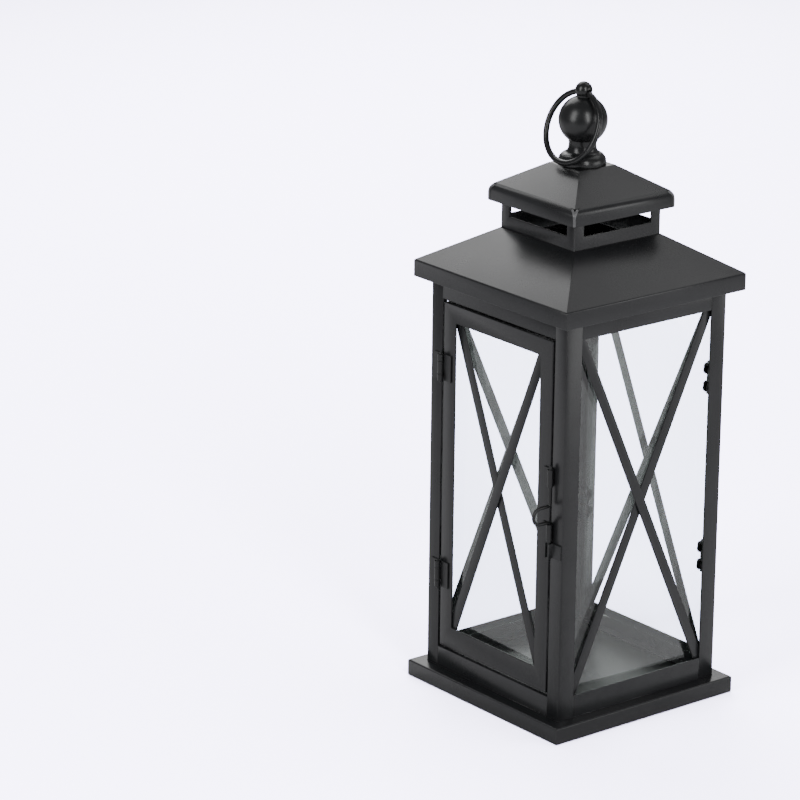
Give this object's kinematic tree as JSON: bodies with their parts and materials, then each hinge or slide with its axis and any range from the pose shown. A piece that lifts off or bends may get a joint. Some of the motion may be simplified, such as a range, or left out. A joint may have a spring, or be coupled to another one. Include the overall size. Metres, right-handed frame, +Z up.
{
  "type": "candle lantern",
  "caption": "Square black sheet-steel candle lantern with glazed cross-braced walls, a hinged latched door, vented hip roof, turned finial and carrying ring.",
  "frame": {"origin": "middle of the whole footprint, with the latch's finger loop, on the surface it stands on; the base's own middle is 4.3 mm behind it", "axes": "+Z up; the door is on the -Y side and hangs on its -X edge"},
  "size_m": [0.17, 0.1786, 0.4577],
  "materials": {
    "sheet_black": "satin powder coat",
    "turned_black": "semi-gloss enamel",
    "hardware_black": "satin",
    "clear_glass": "polished"
  },
  "bodies": {
    "lantern_frame": {"back_brace_falling": "sheet_black", "back_brace_rising": "sheet_black", "back_clip_first_lower": "hardware_black", "back_clip_first_upper": "hardware_black", "back_clip_second_lower": "hardware_black", "back_clip_second_upper": "hardware_black", "back_glass": "clear_glass", "back_head_rail": "sheet_black", "back_sill_rail": "sheet_black", "base_tray": "sheet_black", "cap": "sheet_black", "finial": "turned_black", "finial_bolt": "hardware_black", "front_head_rail": "sheet_black", "front_sill_rail": "sheet_black", "hinge_frame_leaf_lower": "hardware_black", "hinge_frame_leaf_upper": "hardware_black", "hinge_pin_lower": "hardware_black", "hinge_pin_upper": "hardware_black", "latch_keeper": "hardware_black", "left_brace_falling": "sheet_black", "left_brace_rising": "sheet_black", "left_clip_first_lower": "hardware_black", "left_clip_first_upper": "hardware_black", "left_clip_second_lower": "hardware_black", "left_clip_second_upper": "hardware_black", "left_glass": "clear_glass", "left_head_rail": "sheet_black", "left_sill_rail": "sheet_black", "main_roof": "sheet_black", "post_back_left": "sheet_black", "post_back_right": "sheet_black", "post_front_left": "sheet_black", "post_front_right": "sheet_black", "right_brace_falling": "sheet_black", "right_brace_rising": "sheet_black", "right_clip_first_lower": "hardware_black", "right_clip_first_upper": "hardware_black", "right_clip_second_lower": "hardware_black", "right_clip_second_upper": "hardware_black", "right_glass": "clear_glass", "right_head_rail": "sheet_black", "right_sill_rail": "sheet_black", "roof_seat_plate": "sheet_black", "vent_neck": "sheet_black"},
    "door": {"door_brace_falling": "sheet_black", "door_brace_rising": "sheet_black", "door_clip_bottom_left": "hardware_black", "door_clip_bottom_right": "hardware_black", "door_clip_top_left": "hardware_black", "door_clip_top_right": "hardware_black", "door_frame": "sheet_black", "door_glass": "clear_glass", "hinge_door_leaf_lower": "hardware_black", "hinge_door_leaf_upper": "hardware_black", "latch_lower_knuckle": "hardware_black", "latch_upper_knuckle": "hardware_black"},
    "latch_pin_body": {"latch_pin": "hardware_black"},
    "ring": {"carrying_ring": "turned_black"}
  },
  "joints": [
    {"name": "door_hinge", "type": "hinge", "parent": "lantern_frame", "child": "door", "pos_m": [-0.0608, -0.0732, 0.1655], "axis": [0, 0, -1], "range_deg": [0, 180]},
    {"name": "latch_slide", "type": "slide", "parent": "door", "child": "latch_pin_body", "axis": [0, 0, 1], "range_m": [0, 0.0125]},
    {"name": "ring_swing", "type": "hinge", "parent": "lantern_frame", "child": "ring", "pos_m": [0, 0.0043, 0.45], "axis": [-1, 0, 0], "range_deg": [0, 315]}
  ]
}
